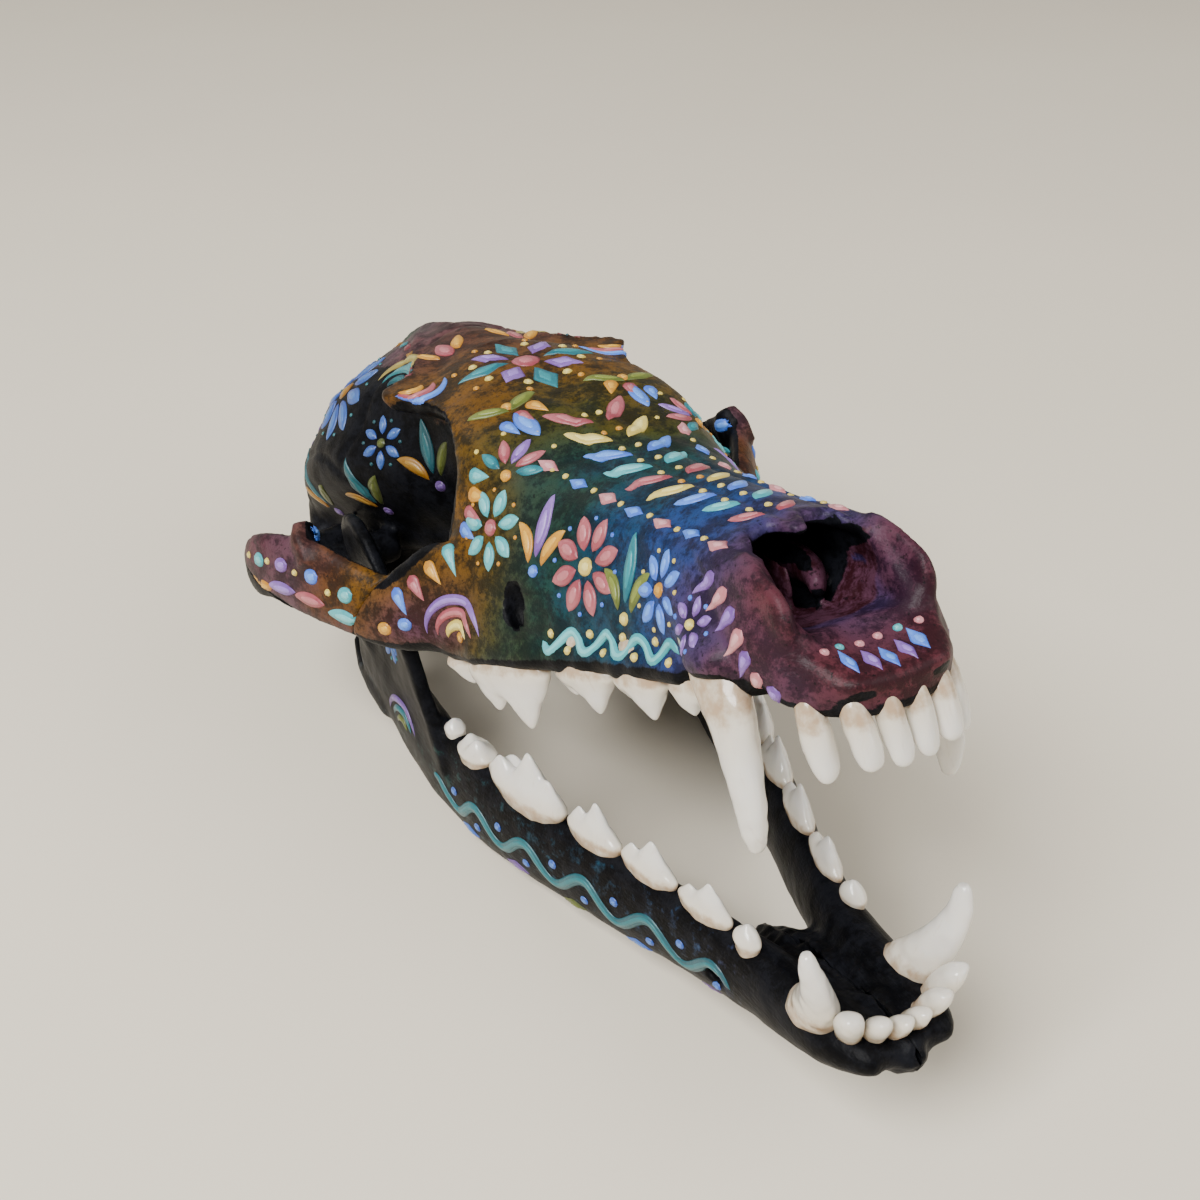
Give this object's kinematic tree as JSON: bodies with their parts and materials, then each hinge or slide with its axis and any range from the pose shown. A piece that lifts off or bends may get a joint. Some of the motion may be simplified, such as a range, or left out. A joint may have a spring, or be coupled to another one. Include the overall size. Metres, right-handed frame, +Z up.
{
  "type": "painted fox skull",
  "caption": "Life-size painted fox skull with its mouth open, lying on its lower jaw: a still display model with bare ivory teeth.",
  "frame": {"origin": "on the floor under the middle of the bounding box", "axes": "+Z up, snout towards -Y, the animal's left towards +X"},
  "size_m": [0.0778, 0.154, 0.0679],
  "materials": {
    "painted_cranium": "bone under satin hand-sponged paint: ochre, olive, deep teal, blue and maroon, with thick brush-stroke ornament; teeth left as bare ivory enamel",
    "painted_cheek": "bone under satin maroon and mauve paint with small ornaments",
    "painted_jaw": "bone under satin black paint",
    "tooth_enamel": "bare ivory-white teeth with a soft shine, stained brown at the necks",
    "painted_ornament": "thick brush strokes of periwinkle, lavender, rose, aqua, olive, cream and mustard paint"
  },
  "bodies": {
    "root": {"cranium": "painted_cranium", "zygomatic_arch_left": "painted_cheek", "zygomatic_arch_right": "painted_cheek", "mandible_left": "painted_jaw", "mandible_right": "painted_jaw"}
  },
  "joints": []
}
